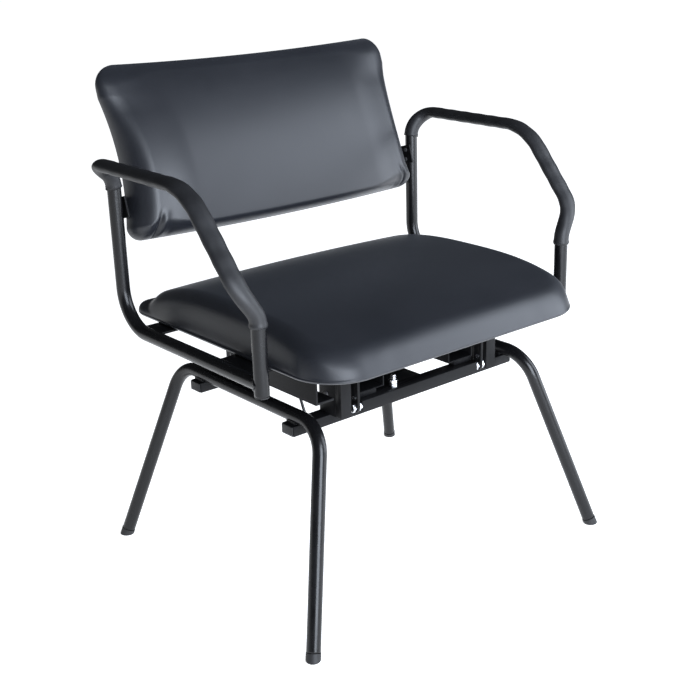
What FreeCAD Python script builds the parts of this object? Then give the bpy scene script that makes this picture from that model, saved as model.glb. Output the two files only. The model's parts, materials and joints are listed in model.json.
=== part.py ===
"""Glider armchair: tube-legged base, four hanging links, and a seat carriage with arms and back.

Millimetres, +Z up.  The chair faces -Y and the origin is on the floor under its middle.
Left and right are as seen from in front, so left is -X.
"""
import FreeCAD, Part
import math
import os

from FreeCAD import Matrix, Vector

# ---- tube stock ----
TUBE_R = 11.1                  # 7/8 inch round tube
TUBE_WALL = 1.6

# ---- base: two inverted-U leg frames on two cross bars ----
FOOT_X = 315.0                 # centre line of a leg where it meets the floor
FOOT_Y = 267.5
LEG_TOP_X = 222.0              # centre line of the leg frame's level rail
LEG_TOP_Y = 187.0              # where leg line and rail line would cross
LEG_RAIL_Z = 319.6
LEG_BEND_R = 54.0
FOOT_CAP_R = 11.6
FOOT_CAP_UP = 11.0             # height at which a leg's tube ends on the cap's rim
FOOT_CAP_ROUND = 1.5           # rounding round the cap's sole
FOOT_PLUG_DEPTH = 14.0         # how far the cap goes up into the tube
CROSS_BAR_HALF = 236.5
CROSS_BAR_WIDE = 28.0          # along Y
CROSS_BAR_HIGH = 17.0
CROSS_BAR_WALL = 2.0
CROSS_BAR_Y = 125.5            # centre of each cross bar, in front and behind
CROSS_BAR_TOP = LEG_RAIL_Z - TUBE_R
CROSS_BAR_LOW = CROSS_BAR_TOP - CROSS_BAR_HIGH
CROSS_PLUG_DEPTH = 12.0
CROSS_PLUG_FACE = 2.0
CROSS_PLUG_SHY = 1.0           # how much smaller the plug's face is than the bar, all round
SADDLE_RISE = 5.0              # how far a saddle climbs the round rail
SADDLE_WIDE = 19.0
SADDLE_LONG = 20.0

# ---- hangers on the base: the rear ones are the front ones moved straight back ----
PITCH = 2 * CROSS_BAR_Y        # from a front hanger, link or carriage bar to the rear one
POST_IN = 146.9                # inner and outer faces of the hanger posts, in X
POST_OUT = 167.5
POST_FACE_Y = -169.0           # front face of the front posts
POST_DEEP = 12.7
POST_LOW = 310.0
POST_TOP = 391.0
BOX_DEEP = 40.0                # box that carries the post, standing on the cross bar
BOX_WALL = 2.5
BOX_SCREW_Y = -134.0           # round-head screw in each box's outer face
BOX_SCREW_Z = 341.5

# ---- links and their pivots ----
PIVOT_Y = -162.6               # of the front links
PIVOT_LOW_Z = 318.6
LINK_LONG = 60.0               # pivot to pivot
PIVOT_TOP_Z = PIVOT_LOW_Z + LINK_LONG
LINK_WIDE = 17.0
LINK_IN = 131.6                # faces of the link strap, in X
LINK_OUT = 136.2
BOLT_R = 4.0
BUSH_R = 5.4
RUNNING_GAP = 0.05
SIDE_GAP = 0.5                 # end play on each face of a link
NUT_FLATS = 13.0
NUT_THICK = 5.6
UPPER_NUT_X = 126.6
UPPER_NUT_THICK = LINK_IN - SIDE_GAP - UPPER_NUT_X
BOLT_STICK_OUT = 0.8
SPACER_R = 7.0
LOWER_BOLT_DEPTH = 22.0
STOP_NUT_GAP = 0.8
RIVET_RISE = 15.5              # small rivet above the lower pivot
RIVET_R = 2.2
RIVET_HEAD_R = 3.5
RIVET_HEAD = 1.2

# ---- carriage ----
BAR_HALF = 125.0               # half length of its two end bars
BAR_DEEP = 25.4
BAR_LOW = 311.0
BAR_TOP = 327.4
BEAM_IN = 70.0                 # inner face of the fore-and-aft beams, flush outside with the bars
BEAM_LOW = 335.0
BEAM_WALL = 2.5
BEAM_FRONT = -157.6
BEAM_BACK = 117.4
BLOCK_IN = 85.0                # blocks between the bars and the beams
BLOCK_LONG = 20.0
BLOCK_SETBACK = 2.0            # from the end of the beam
SEAT_LOW = 411.0               # underside of the seat board
STRAP_HIGH = 6.0
STRAP_HALF = 231.0
STRAP_Y = 55.0
STRAP_DEEP = 30.0
BEAM_TOP = SEAT_LOW - STRAP_HIGH
ANGLE_OUT = 235.0              # outer face of the side angles
ANGLE_LOW = 358.0
ANGLE_LEG = 34.0
ANGLE_THICK = 4.0
LEFT_ANGLE_FRONT = -195.0      # the left one carries the latch rod and is longer
RIGHT_ANGLE_FRONT = -165.0
ANGLE_BACK = -30.0
STOP_PLATE_X = (-84.0, 20.0)
STOP_PLATE_Y = (-143.6, -92.0)
STOP_PLATE_THICK = 3.0
STOP_BOLT_X = -49.0
STOP_BOLT_Y = -155.5
STOP_BOLT_TOP = 348.0
ROD_R = 2.2
ROD_X = -205.0
ROD_TOP_Y = -110.0
ROD_LOW_Y = -130.5
ROD_LOW_Z = 313.0

# ---- side frames: post, seat rail and upright in one tube, and the arm over them ----
SIDE_X = 317.0
ARM_X = 347.5
UPRIGHT_Y = 193.5
ARM_POST_Y = -178.0
ARM_POST_LOW = 392.0
SIDE_RAIL_Z = 409.4
SIDE_BEND_R = 64.0
RAIL_STUB = 20.0               # coped piece of rail at the post
POST_BEND_Z = 509.0            # where the post starts to lean out into the arm
KNEE = (344.5, -172.0, 554.0)  # corner between the leaning post and the arm's slope
ARM_FRONT_Y = -68.0            # corners at the two ends of the arm's level run
ARM_BACK_Y = 186.5
ARM_FRONT_Z = 677.0
ARM_BACK_Z = 679.8
UPRIGHT_BEND_Z = 652.0
ARM_BEND_RADII = (36.0, 58.0, 100.0, 30.0, 34.0)
ARM_WIDE = 29.0                # the arm's tube is pressed from round to this oval
ARM_HIGH = 15.4
ARM_STATIONS = 36              # cross sections along the oval tube
ELLIPSE_EXCESS = 0.0001        # keeps the wide axis the longer one where the tube is round
OVAL_START = 22.0              # the tube is round up to here from either end of the sleeve
OVAL_FULL = 85.0               # and fully oval from here
SLEEVE_WALL = 1.8
PLUG_DEPTH = 8.0
PLUG_FACE = 2.0
PLUG_FACE_R = 10.7
SLEEVE_FRONT_Z = 494.0         # where the sleeve starts on the post, and on the upright
SLEEVE_BACK_Z = 641.0

# ---- seat ----
SEAT_HALF = 277.0
SEAT_FRONT = -276.0
SEAT_BACK = 250.0
SEAT_CROWN = 485.0             # top of the seat along its middle
SEAT_DROP = 57.5               # how much lower its front and rear ends are
SEAT_DROP_POWER = 2.87
CROWN_STATIONS = (-1.01, -0.8, -0.6, 0, 0.6, 0.8, 1.01)  # shares of the half length, just past its ends
SEAT_EDGE_R = 34.0             # rounding along its sides
SEAT_FRONT_CORNER_R = 76.0
SEAT_BACK_CORNER_R = 38.0
SEAT_HEM_R = 6.0               # rounding along its underside
SEAT_SPARE = 5.0               # how far the blocks that are intersected stand out past it
SEAT_SIDE_SPARE = 1.0
SEAT_TOP_SPARE = 1.5
BOARD_THICK = 12.0
BOARD_INSET = 22.0
TAB_THICK = 4.0
TAB_IN = 242.0
TAB_REACH = 4.0                # how far short of the rail's centre line a tab ends
STRAP_SCREW_X = (60.0, 180.0)
TAB_SCREW_X = 252.0
SCREW_BALL_R = 6.0             # a screw's head is a slice of this ball
SCREW_BALL_UP = 3.2            # how far the ball's middle is above the head's flat
TAB_SPANS = ((-140.0, -50.0), (116.0, 166.0))

# ---- back ----
BACK_HALF = 289.0
BACK_LOW_Z = 553.0
BACK_HIGH = 280.0              # along its own slope
BACK_THICK = 50.0              # from the reference plane through BACK_FRONT_Y to the rear
BACK_CROWN = 19.0              # how far the front stands before that plane where it is fullest
BACK_CROWN_UP = 75.0           # height of the fullest line
BACK_LOW_CROWN = 11.0          # the same at the lower edge
BACK_TOP_THICK = 14.0
BACK_EDGE_R = 10.0
BACK_FRONT_Y = 152.0
BACK_LEAN = 15.0
BACK_CORNER_R = 34.0
BACK_BOARD_INSET = 16.0
BACK_COVER_INSET = 10.0
BACK_COVER_THICK = 3.0
BRACKET_THICK = 3.0
BRACKET_UP = (42.0, 76.0)      # lower and upper end, from the back's lower edge
BRACKET_REACH = 14.0           # how far the web runs in front of the upright's middle
BRACKET_FLANGE_X = 258.0       # inner end of the flange
FLANGE_SCREW_X = 270.0
BRACKET_SCREW_UP = (50.5, 67.5)
BRACKET_SCREW_R = 3.6
BRACKET_SCREW_HEAD = 2.2

SIDES = (("left", -1), ("right", 1))
ENDS = (("front", -1), ("back", 1))
X_AXIS = Vector(1, 0, 0)
FAR = 700.0                    # beyond every part of the chair
SEW_TOLERANCE = 0.01
SEW_TOLERANCE_MAX = 0.1


def box(x0, x1, y0, y1, z0, z1):
    low = Vector(min(x0, x1), min(y0, y1), min(z0, z1))
    return Part.makeBox(abs(x1 - x0), abs(y1 - y0), abs(z1 - z0), low)


def rod(start, end, radius):
    start, end = Vector(*start), Vector(*end)
    return Part.makeCylinder(radius, (end - start).Length, start, end - start)


def on_side(shape, side):
    """A piece drawn for +X, moved to the side asked for."""
    return shape if side > 0 else shape.mirror(Vector(0, 0, 0), X_AXIS)


def at_corner(shape, side, end):
    """A piece drawn for +X and the front hanger, moved to the corner asked for."""
    turned = on_side(shape, side)
    return turned.translated(Vector(0, PITCH, 0)) if end > 0 else turned


def at_corners(shape):
    """A group of four pieces, one at each corner."""
    return Part.makeCompound([at_corner(shape, side, end) for _, side in SIDES for _, end in ENDS])


def centre_line(points, radii):
    """Straight runs through the points, joined by an arc of the given radius at each inner one."""
    points = [Vector(*p) for p in points]
    edges = []
    start = points[0]
    for before, corner, after, radius in zip(points, points[1:], points[2:], radii):
        back = (before - corner).normalize()
        onward = (after - corner).normalize()
        half = back.getAngle(onward) / 2
        reach = radius / math.tan(half)
        middle = (back + onward).normalize()
        first = corner + back * reach
        last = corner + onward * reach
        top = corner + middle * (radius / math.sin(half) - radius)
        edges.append(Part.LineSegment(start, first).toShape())
        edges.append(Part.Arc(first, top, last).toShape())
        start = last
    edges.append(Part.LineSegment(start, points[-1]).toShape())
    return Part.Wire(edges)


def swept(path, radius):
    """A solid round bar along a centre line."""
    first = path.Edges[0]
    start = first.FirstParameter
    circle = Part.makeCircle(radius, first.valueAt(start), first.tangentAt(start))
    solid = path.makePipeShell([Part.Wire([circle])], True, False)
    return Part.Solid(solid) if solid.ShapeType != "Solid" else solid


def hex_prism(centre, flats, thick, axis):
    """A hexagonal bar from centre along the axis."""
    axis = Vector(*axis)
    corner = flats / math.sqrt(3)
    seed = Vector(0, 0, 1) if abs(axis.z) < 0.5 else Vector(1, 0, 0)
    across = axis.cross(seed).normalize()
    up = axis.cross(across).normalize()
    rim = []
    for step in range(7):
        angle = math.radians(60 * step)
        rim.append(Vector(*centre) + across * (corner * math.cos(angle)) + up * (corner * math.sin(angle)))
    return Part.Face(Part.makePolygon(rim)).extrude(axis.normalize() * thick)


def round_head():
    """A screw's head with its flat at the origin, pointing down."""
    ball = Part.makeSphere(SCREW_BALL_R, Vector(0, 0, SCREW_BALL_UP))
    return ball.common(box(-FAR, FAR, -FAR, FAR, -FAR, 0))


# ---- base ----
def leg_rise():
    """Direction up one leg, and the point where its tube ends."""
    foot = Vector(FOOT_X, FOOT_Y, 0)
    up = (Vector(LEG_TOP_X, LEG_TOP_Y, LEG_RAIL_Z) - foot).normalize()
    return up, foot + up * (FOOT_CAP_UP / up.z)


def leg_frame(side):
    """One bent tube: a leg, a level rail and the other leg."""
    _, rim = leg_rise()
    half = [(side * rim.x, rim.y, rim.z), (side * LEG_TOP_X, LEG_TOP_Y, LEG_RAIL_Z)]
    other = [(x, -y, z) for x, y, z in reversed(half)]
    path = centre_line(half + other, [LEG_BEND_R, LEG_BEND_R])
    return swept(path, TUBE_R).cut(swept(path, TUBE_R - TUBE_WALL))


def foot_cap(side, end):
    """A push-in rubber cap, square to the leg at its rim and level at the floor."""
    up, rim = leg_rise()
    sole = rod(rim - up * 2 * FOOT_CAP_UP, rim, FOOT_CAP_R).common(box(-FAR, FAR, -FAR, FAR, 0, FAR))
    edge = [e for e in sole.Edges if e.BoundBox.ZMax < 0.01]
    sole = sole.makeFillet(FOOT_CAP_ROUND, edge)
    plug = rod(rim, rim + up * FOOT_PLUG_DEPTH, TUBE_R - TUBE_WALL)
    cap = on_side(sole.fuse(plug).removeSplitter(), side)
    return cap if end > 0 else cap.mirror(Vector(0, 0, 0), Vector(0, 1, 0))


def cross_bar(end):
    y = end * CROSS_BAR_Y
    half = CROSS_BAR_WIDE / 2
    skin = box(-CROSS_BAR_HALF, CROSS_BAR_HALF, y - half, y + half, CROSS_BAR_LOW, CROSS_BAR_TOP)
    inner = half - CROSS_BAR_WALL
    hollow = box(-CROSS_BAR_HALF, CROSS_BAR_HALF, y - inner, y + inner,
                 CROSS_BAR_LOW + CROSS_BAR_WALL, CROSS_BAR_TOP - CROSS_BAR_WALL)
    return skin.cut(hollow)


def cross_bar_plugs():
    """A push-in plug in each open end of the cross bars."""
    plugs = []
    inner = CROSS_BAR_WIDE / 2 - CROSS_BAR_WALL
    outer = CROSS_BAR_WIDE / 2 - CROSS_PLUG_SHY
    for _, side in SIDES:
        for _, end in ENDS:
            y = end * CROSS_BAR_Y
            mouth = side * CROSS_BAR_HALF
            stub = box(mouth - side * CROSS_PLUG_DEPTH, mouth, y - inner, y + inner,
                       CROSS_BAR_LOW + CROSS_BAR_WALL, CROSS_BAR_TOP - CROSS_BAR_WALL)
            face = box(mouth, mouth + side * CROSS_PLUG_FACE, y - outer, y + outer,
                       CROSS_BAR_LOW + CROSS_PLUG_SHY, CROSS_BAR_TOP - CROSS_PLUG_SHY)
            plugs.append(stub.fuse(face).removeSplitter())
    return Part.makeCompound(plugs)


def rail_saddles():
    """Short saddles that seat the round rails on the flat cross bars."""
    saddles = []
    for _, side in SIDES:
        rail = rod((side * LEG_TOP_X, -FAR, LEG_RAIL_Z), (side * LEG_TOP_X, FAR, LEG_RAIL_Z), TUBE_R)
        for _, end in ENDS:
            x, y = side * LEG_TOP_X, end * CROSS_BAR_Y
            block = box(x - SADDLE_WIDE / 2, x + SADDLE_WIDE / 2, y - SADDLE_LONG / 2, y + SADDLE_LONG / 2,
                        CROSS_BAR_TOP, CROSS_BAR_TOP + SADDLE_RISE)
            saddles.extend(block.cut(rail).Solids)
    return Part.makeCompound(saddles)


def hanger_post(side, end):
    post = box(POST_IN, POST_OUT, POST_FACE_Y, POST_FACE_Y + POST_DEEP, POST_LOW, POST_TOP)
    bolt = rod((POST_IN - 1, PIVOT_Y, PIVOT_TOP_Z), (POST_OUT + 1, PIVOT_Y, PIVOT_TOP_Z), BOLT_R)
    return at_corner(post.cut(bolt), side, end)


def hanger_box(side, end):
    front = POST_FACE_Y + POST_DEEP
    back = front + BOX_DEEP
    skin = box(POST_IN, POST_OUT, front, back, CROSS_BAR_TOP, POST_TOP)
    hollow = box(POST_IN + BOX_WALL, POST_OUT - BOX_WALL, front + BOX_WALL, back - BOX_WALL,
                 CROSS_BAR_TOP, POST_TOP - BOX_WALL)
    return at_corner(skin.cut(hollow), side, end)


# ---- links and pivots ----
def link(side, end):
    """A flat strap with round ends, bored for a bush at each pivot."""
    half = LINK_WIDE / 2
    strap = box(LINK_IN, LINK_OUT, PIVOT_Y - half, PIVOT_Y + half, PIVOT_LOW_Z, PIVOT_TOP_Z)
    for z in (PIVOT_LOW_Z, PIVOT_TOP_Z):
        strap = strap.fuse(rod((LINK_IN, PIVOT_Y, z), (LINK_OUT, PIVOT_Y, z), half))
    for z in (PIVOT_LOW_Z, PIVOT_TOP_Z):
        strap = strap.cut(rod((LINK_IN - 1, PIVOT_Y, z), (LINK_OUT + 1, PIVOT_Y, z), BUSH_R))
    z = PIVOT_LOW_Z + RIVET_RISE
    strap = strap.cut(rod((LINK_IN - 1, PIVOT_Y, z), (LINK_OUT + 1, PIVOT_Y, z), RIVET_R))
    return at_corner(strap.removeSplitter(), side, end)


def link_fittings(side, end):
    """Two bushes and the small rivet that ride in one link."""
    pieces = []
    for z in (PIVOT_LOW_Z, PIVOT_TOP_Z):
        bush = rod((LINK_IN, PIVOT_Y, z), (LINK_OUT, PIVOT_Y, z), BUSH_R)
        bore = rod((LINK_IN, PIVOT_Y, z), (LINK_OUT, PIVOT_Y, z), BOLT_R + RUNNING_GAP)
        pieces.append(bush.cut(bore))
    z = PIVOT_LOW_Z + RIVET_RISE
    shank = rod((LINK_IN, PIVOT_Y, z), (LINK_OUT, PIVOT_Y, z), RIVET_R)
    heads = [rod((LINK_IN - RIVET_HEAD, PIVOT_Y, z), (LINK_IN, PIVOT_Y, z), RIVET_HEAD_R),
             rod((LINK_OUT, PIVOT_Y, z), (LINK_OUT + RIVET_HEAD, PIVOT_Y, z), RIVET_HEAD_R)]
    pieces.append(shank.fuse(heads).removeSplitter())
    return at_corner(Part.makeCompound(pieces), side, end)


def upper_bolts():
    """Bolts through the posts and the tops of the links, with heads outside and nuts inside."""
    tip = (UPPER_NUT_X - BOLT_STICK_OUT, PIVOT_Y, PIVOT_TOP_Z)
    shank = rod(tip, (POST_OUT, PIVOT_Y, PIVOT_TOP_Z), BOLT_R)
    head = hex_prism((POST_OUT, PIVOT_Y, PIVOT_TOP_Z), NUT_FLATS, NUT_THICK, (1, 0, 0))
    return at_corners(shank.fuse(head).removeSplitter())


def hanger_screws():
    """One round-head screw in the outer face of each hanger box."""
    head = round_head().rotate(Vector(0, 0, 0), Vector(0, 1, 0), -90)
    return at_corners(head.translate(Vector(POST_OUT, BOX_SCREW_Y, BOX_SCREW_Z)))


def nut_on_x(x, z, thick):
    """A nut whose flat outer face stands at x + thick, bored for its bolt."""
    blank = hex_prism((x, PIVOT_Y, z), NUT_FLATS, thick, (1, 0, 0))
    return blank.cut(rod((x - 1, PIVOT_Y, z), (x + thick + 1, PIVOT_Y, z), BOLT_R))


def upper_nuts_and_spacers():
    """On each upper bolt, its nut and the sleeve that holds the link's top clear of the post."""
    start = (LINK_OUT + SIDE_GAP, PIVOT_Y, PIVOT_TOP_Z)
    stop = (POST_IN, PIVOT_Y, PIVOT_TOP_Z)
    spacer = rod(start, stop, SPACER_R).cut(rod(start, stop, BOLT_R))
    nut = nut_on_x(UPPER_NUT_X, PIVOT_TOP_Z, UPPER_NUT_THICK)
    return Part.makeCompound([at_corners(nut), at_corners(spacer)])


def lower_bolts():
    """Bolts through the feet of the links into the ends of the carriage bars."""
    root = (BAR_HALF - LOWER_BOLT_DEPTH, PIVOT_Y, PIVOT_LOW_Z)
    shoulder = (LINK_OUT + SIDE_GAP, PIVOT_Y, PIVOT_LOW_Z)
    head = hex_prism(shoulder, NUT_FLATS, NUT_THICK, (1, 0, 0))
    return at_corners(rod(root, shoulder, BOLT_R).fuse(head).removeSplitter())


def lower_nuts():
    """Lock nuts between each carriage bar's end and its link."""
    return at_corners(nut_on_x(BAR_HALF, PIVOT_LOW_Z, LINK_IN - SIDE_GAP - BAR_HALF))


# ---- carriage ----
def carriage_bar(end):
    bar = box(-BAR_HALF, BAR_HALF, POST_FACE_Y, POST_FACE_Y + BAR_DEEP, BAR_LOW, BAR_TOP)
    for _, side in SIDES:
        bar = bar.cut(rod((side * (BAR_HALF - LOWER_BOLT_DEPTH), PIVOT_Y, PIVOT_LOW_Z),
                          (side * (BAR_HALF + 1), PIVOT_Y, PIVOT_LOW_Z), BOLT_R))
    bar = at_corner(bar, 1, end)
    return bar if end > 0 else bar.cut(stop_bolt())


def carriage_beam(side):
    skin = box(BEAM_IN, BAR_HALF, BEAM_FRONT, BEAM_BACK, BEAM_LOW, BEAM_TOP)
    hollow = box(BEAM_IN + BEAM_WALL, BAR_HALF - BEAM_WALL, BEAM_FRONT, BEAM_BACK,
                 BEAM_LOW + BEAM_WALL, BEAM_TOP - BEAM_WALL)
    return on_side(skin.cut(hollow), side)


def beam_blocks():
    """Flat blocks that carry the beams on the end bars."""
    front = BEAM_FRONT + BLOCK_SETBACK
    return at_corners(box(BLOCK_IN, BAR_HALF, front, front + BLOCK_LONG, BAR_TOP, BEAM_LOW))


def seat_straps():
    """Two flat bars across the beams, under the seat board."""
    straps = []
    for _, end in ENDS:
        y = end * STRAP_Y
        half = STRAP_DEEP / 2
        straps.append(box(-STRAP_HALF, STRAP_HALF, y - half, y + half, BEAM_TOP, SEAT_LOW))
    return Part.makeCompound(straps)


def side_angle(side):
    """Angle section under the front part of each side of the seat board."""
    inner = ANGLE_OUT - ANGLE_LEG
    front = LEFT_ANGLE_FRONT if side < 0 else RIGHT_ANGLE_FRONT
    web = box(ANGLE_OUT - ANGLE_THICK, ANGLE_OUT, front, ANGLE_BACK, ANGLE_LOW, SEAT_LOW)
    shelf = box(inner, ANGLE_OUT, front, ANGLE_BACK, ANGLE_LOW, ANGLE_LOW + ANGLE_THICK)
    return on_side(web.fuse(shelf).removeSplitter(), side)


def stop_plate():
    """Plate welded behind the front bar, level with its top."""
    return box(*STOP_PLATE_X, *STOP_PLATE_Y, BAR_TOP - STOP_PLATE_THICK, BAR_TOP)


def stop_bolt():
    low = (STOP_BOLT_X, STOP_BOLT_Y, BAR_LOW)
    return rod(low, (STOP_BOLT_X, STOP_BOLT_Y, STOP_BOLT_TOP), BOLT_R)


def stop_nuts():
    """Two nuts locked against each other on the stop bolt."""
    nuts = []
    for low in (BAR_TOP, BAR_TOP + NUT_THICK + STOP_NUT_GAP):
        nut = hex_prism((STOP_BOLT_X, STOP_BOLT_Y, low), NUT_FLATS, NUT_THICK, (0, 0, 1))
        nuts.append(nut.cut(stop_bolt()))
    return Part.makeCompound(nuts)


def latch_rod():
    """Thin rod that hangs from the left side angle to just above the front cross bar."""
    low = Vector(ROD_X, ROD_LOW_Y, ROD_LOW_Z)
    top = Vector(ROD_X, ROD_TOP_Y, ANGLE_LOW)
    past = top + (top - low).normalize() * 2 * ROD_R
    return rod(low, past, ROD_R).common(box(-FAR, FAR, -FAR, FAR, 0, ANGLE_LOW))


# ---- side frames ----
def side_points():
    """Corners of the side frame's centre line, from the post's foot round to the rail."""
    return [
        (SIDE_X, ARM_POST_Y, ARM_POST_LOW),
        (SIDE_X, ARM_POST_Y, POST_BEND_Z),
        KNEE,
        (ARM_X, ARM_FRONT_Y, ARM_FRONT_Z),
        (ARM_X, ARM_BACK_Y, ARM_BACK_Z),
        (SIDE_X, UPRIGHT_Y, UPRIGHT_BEND_Z),
        (SIDE_X, UPRIGHT_Y, SIDE_RAIL_Z),
        (SIDE_X, ARM_POST_Y + TUBE_R + RAIL_STUB, SIDE_RAIL_Z),
    ]


def arm_path():
    inner = side_points()[1:6]
    start = (SIDE_X, ARM_POST_Y, SLEEVE_FRONT_Z)
    stop = (SIDE_X, UPRIGHT_Y, SLEEVE_BACK_Z)
    return centre_line([start] + inner + [stop], ARM_BEND_RADII)


def smooth(value):
    value = min(1.0, max(0.0, value))
    return value * value * (3 - 2 * value)


def oval(centre, tangent, share, grow):
    """One cross section of the arm, round at share 0 and fully pressed at share 1."""
    wide = TUBE_R + (ARM_WIDE / 2 - TUBE_R) * share + grow + ELLIPSE_EXCESS
    high = TUBE_R + (ARM_HIGH / 2 - TUBE_R) * share + grow
    across = X_AXIS - tangent * tangent.dot(X_AXIS)
    across.normalize()
    up = tangent.cross(across)
    ring = Part.Ellipse(centre + across * wide, centre + up * high, centre)
    return Part.Wire([ring.toShape()])


def arm_rings(grow):
    """Cross sections along the arm, their outline moved out by grow."""
    path = arm_path()
    points = path.discretize(Number=ARM_STATIONS)
    last = ARM_STATIONS - 1
    rings = []
    for index, point in enumerate(points):
        tangent = (points[min(index + 1, last)] - points[max(index - 1, 0)]).normalize()
        if index in (0, last):
            tangent = Vector(0, 0, 1 if index == 0 else -1)
        along = path.Length * index / last
        near = min(along, path.Length - along)
        share = smooth((near - OVAL_START) / (OVAL_FULL - OVAL_START))
        rings.append(oval(point, tangent, share, grow))
    return rings


def arm_tube(outer, inner):
    """Hollow bar along the arm between two outlines, closed by a flat ring at each end."""
    outside = arm_rings(outer)
    inside = arm_rings(inner)
    faces = Part.makeLoft(outside, False, False).Faces
    faces += [face.reversed() for face in Part.makeLoft(inside, False, False).Faces]
    faces += [Part.Face([outside[end], inside[end]]) for end in (0, -1)]
    shell = Part.Shell(faces)
    shell.sewShape()
    solid = Part.Solid(Part.Shell(shell.Faces))
    solid.fix(SEW_TOLERANCE, SEW_TOLERANCE, SEW_TOLERANCE_MAX)
    return solid


def lower_run(radius):
    """Round bar from the sleeve's upper end down the upright and forward along the rail."""
    points = [(SIDE_X, UPRIGHT_Y, SLEEVE_BACK_Z)] + side_points()[6:]
    return swept(centre_line(points, [SIDE_BEND_R]), radius)


def side_frame(side):
    """Post, seat rail and upright: one bent tube whose front end is coped onto the post."""
    bore_r = TUBE_R - TUBE_WALL
    rail_end = side_points()[-1]
    post = [(SIDE_X, ARM_POST_Y, ARM_POST_LOW), (SIDE_X, ARM_POST_Y, SLEEVE_FRONT_Z)]
    weld = (SIDE_X, ARM_POST_Y, SIDE_RAIL_Z)
    stub = rod(weld, rail_end, TUBE_R).cut(rod(weld, rail_end, bore_r)).cut(rod(*post, TUBE_R))
    front = rod(*post, TUBE_R).cut(rod(*post, bore_r)).fuse(stub)
    rear = lower_run(TUBE_R).cut(lower_run(bore_r))
    return on_side(front.fuse(rear).removeSplitter(), side)


def arm_bow(side):
    """Oval tube of the arm, welded at its round ends to the post and to the upright."""
    return on_side(arm_tube(0, -TUBE_WALL), side)


def arm_sleeve(side):
    """Soft sleeve over the arm, from the post round to the upright."""
    return on_side(arm_tube(SLEEVE_WALL, 0), side)


def post_plugs():
    """A push-in plug in the open foot of each arm post."""
    foot = Vector(SIDE_X, ARM_POST_Y, ARM_POST_LOW)
    stub = rod(foot, foot + Vector(0, 0, PLUG_DEPTH), TUBE_R - TUBE_WALL)
    face = rod(foot - Vector(0, 0, PLUG_FACE), foot, PLUG_FACE_R)
    plug = stub.fuse(face).removeSplitter()
    return Part.makeCompound([on_side(plug, side) for _, side in SIDES])


# ---- seat ----
def seat_plate(inset, top):
    """A plate with the seat's outline, moved in by inset, up to the given height."""
    half = SEAT_HALF - inset
    front, back = SEAT_FRONT + inset, SEAT_BACK - inset
    plate = box(-half, half, front, back, SEAT_LOW, top)
    for y, radius in ((front, SEAT_FRONT_CORNER_R - inset), (back, SEAT_BACK_CORNER_R - inset)):
        corners = [e for e in plate.Edges if abs(e.tangentAt(0).z) > 0.9 and abs(e.valueAt(0).y - y) < 1]
        plate = plate.makeFillet(radius, corners)
    return plate


def seat_board():
    return seat_plate(BOARD_INSET, SEAT_LOW + BOARD_THICK)


def crowned_slab():
    """A block across the whole seat with the crown's profile from front to rear."""
    centre = (SEAT_FRONT + SEAT_BACK) / 2
    half = (SEAT_BACK - SEAT_FRONT) / 2
    side_x = -SEAT_HALF - SEAT_SPARE
    points = []
    for share in CROWN_STATIONS:
        height = SEAT_CROWN - SEAT_DROP * abs(share) ** SEAT_DROP_POWER
        points.append(Vector(side_x, centre + half * share, height))
    front_low = Vector(side_x, points[0].y, SEAT_LOW)
    rear_low = Vector(side_x, points[-1].y, SEAT_LOW)
    edges = [Part.Arc(*points[i:i + 3]).toShape() for i in (0, 2, 4)]
    edges += Part.makePolygon([points[-1], rear_low, front_low, points[0]]).Edges
    return Part.Face(Part.Wire(edges)).extrude(Vector(-2 * side_x, 0, 0))


def seat_cushion():
    """Crowned upholstery whose sides are rounded over and whose corners are rounded in plan."""
    spare = SEAT_SPARE
    plan = seat_plate(0, SEAT_CROWN + spare)
    hem = [e for e in plan.Edges if e.BoundBox.ZMax < SEAT_LOW + 1]
    plan = plan.makeFillet(SEAT_HEM_R, hem)
    side = SEAT_HALF + SEAT_SIDE_SPARE
    across = box(-side, side, SEAT_FRONT - spare, SEAT_BACK + spare,
                 SEAT_LOW - spare, SEAT_CROWN + SEAT_TOP_SPARE)
    ends = [e for e in across.Edges if abs(e.tangentAt(0).y) > 0.9 and e.BoundBox.ZMin > SEAT_LOW + 1]
    across = across.makeFillet(SEAT_EDGE_R, ends)
    return crowned_slab().common(plan).common(across).cut(seat_board())


def side_tabs():
    """Flat tabs from the side rails to the underside of the seat board."""
    tabs = []
    rail = rod((SIDE_X, -FAR, SIDE_RAIL_Z), (SIDE_X, FAR, SIDE_RAIL_Z), TUBE_R)
    for _, side in SIDES:
        for y0, y1 in TAB_SPANS:
            tab = box(TAB_IN, SIDE_X - TAB_REACH, y0, y1, SEAT_LOW - TAB_THICK, SEAT_LOW)
            tabs.append(on_side(tab.cut(rail), side))
    return Part.makeCompound(tabs)


def seat_screws():
    """Screws up through the straps and tabs into the seat board."""
    places = []
    for _, side in SIDES:
        places += [(side * x, end * STRAP_Y, BEAM_TOP) for _, end in ENDS for x in STRAP_SCREW_X]
        for y0, y1 in TAB_SPANS:
            places.append((side * TAB_SCREW_X, (y0 + y1) / 2, SEAT_LOW - TAB_THICK))
    return Part.makeCompound([round_head().translate(Vector(*place)) for place in places])


# ---- back ----
def leaned(shape):
    """A piece drawn upright from the back's lower front edge, leaned back about that edge."""
    turned = shape.copy()
    turned.rotate(Vector(0, BACK_FRONT_Y, BACK_LOW_Z), X_AXIS, -BACK_LEAN)
    return turned


def upright_slab(half, low, high, y0, y1, radius):
    slab = box(-half, half, y0, y1, low, high)
    across = [e for e in slab.Edges if abs(e.tangentAt(0).y) > 0.9]
    return slab.makeFillet(radius, across)


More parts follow.
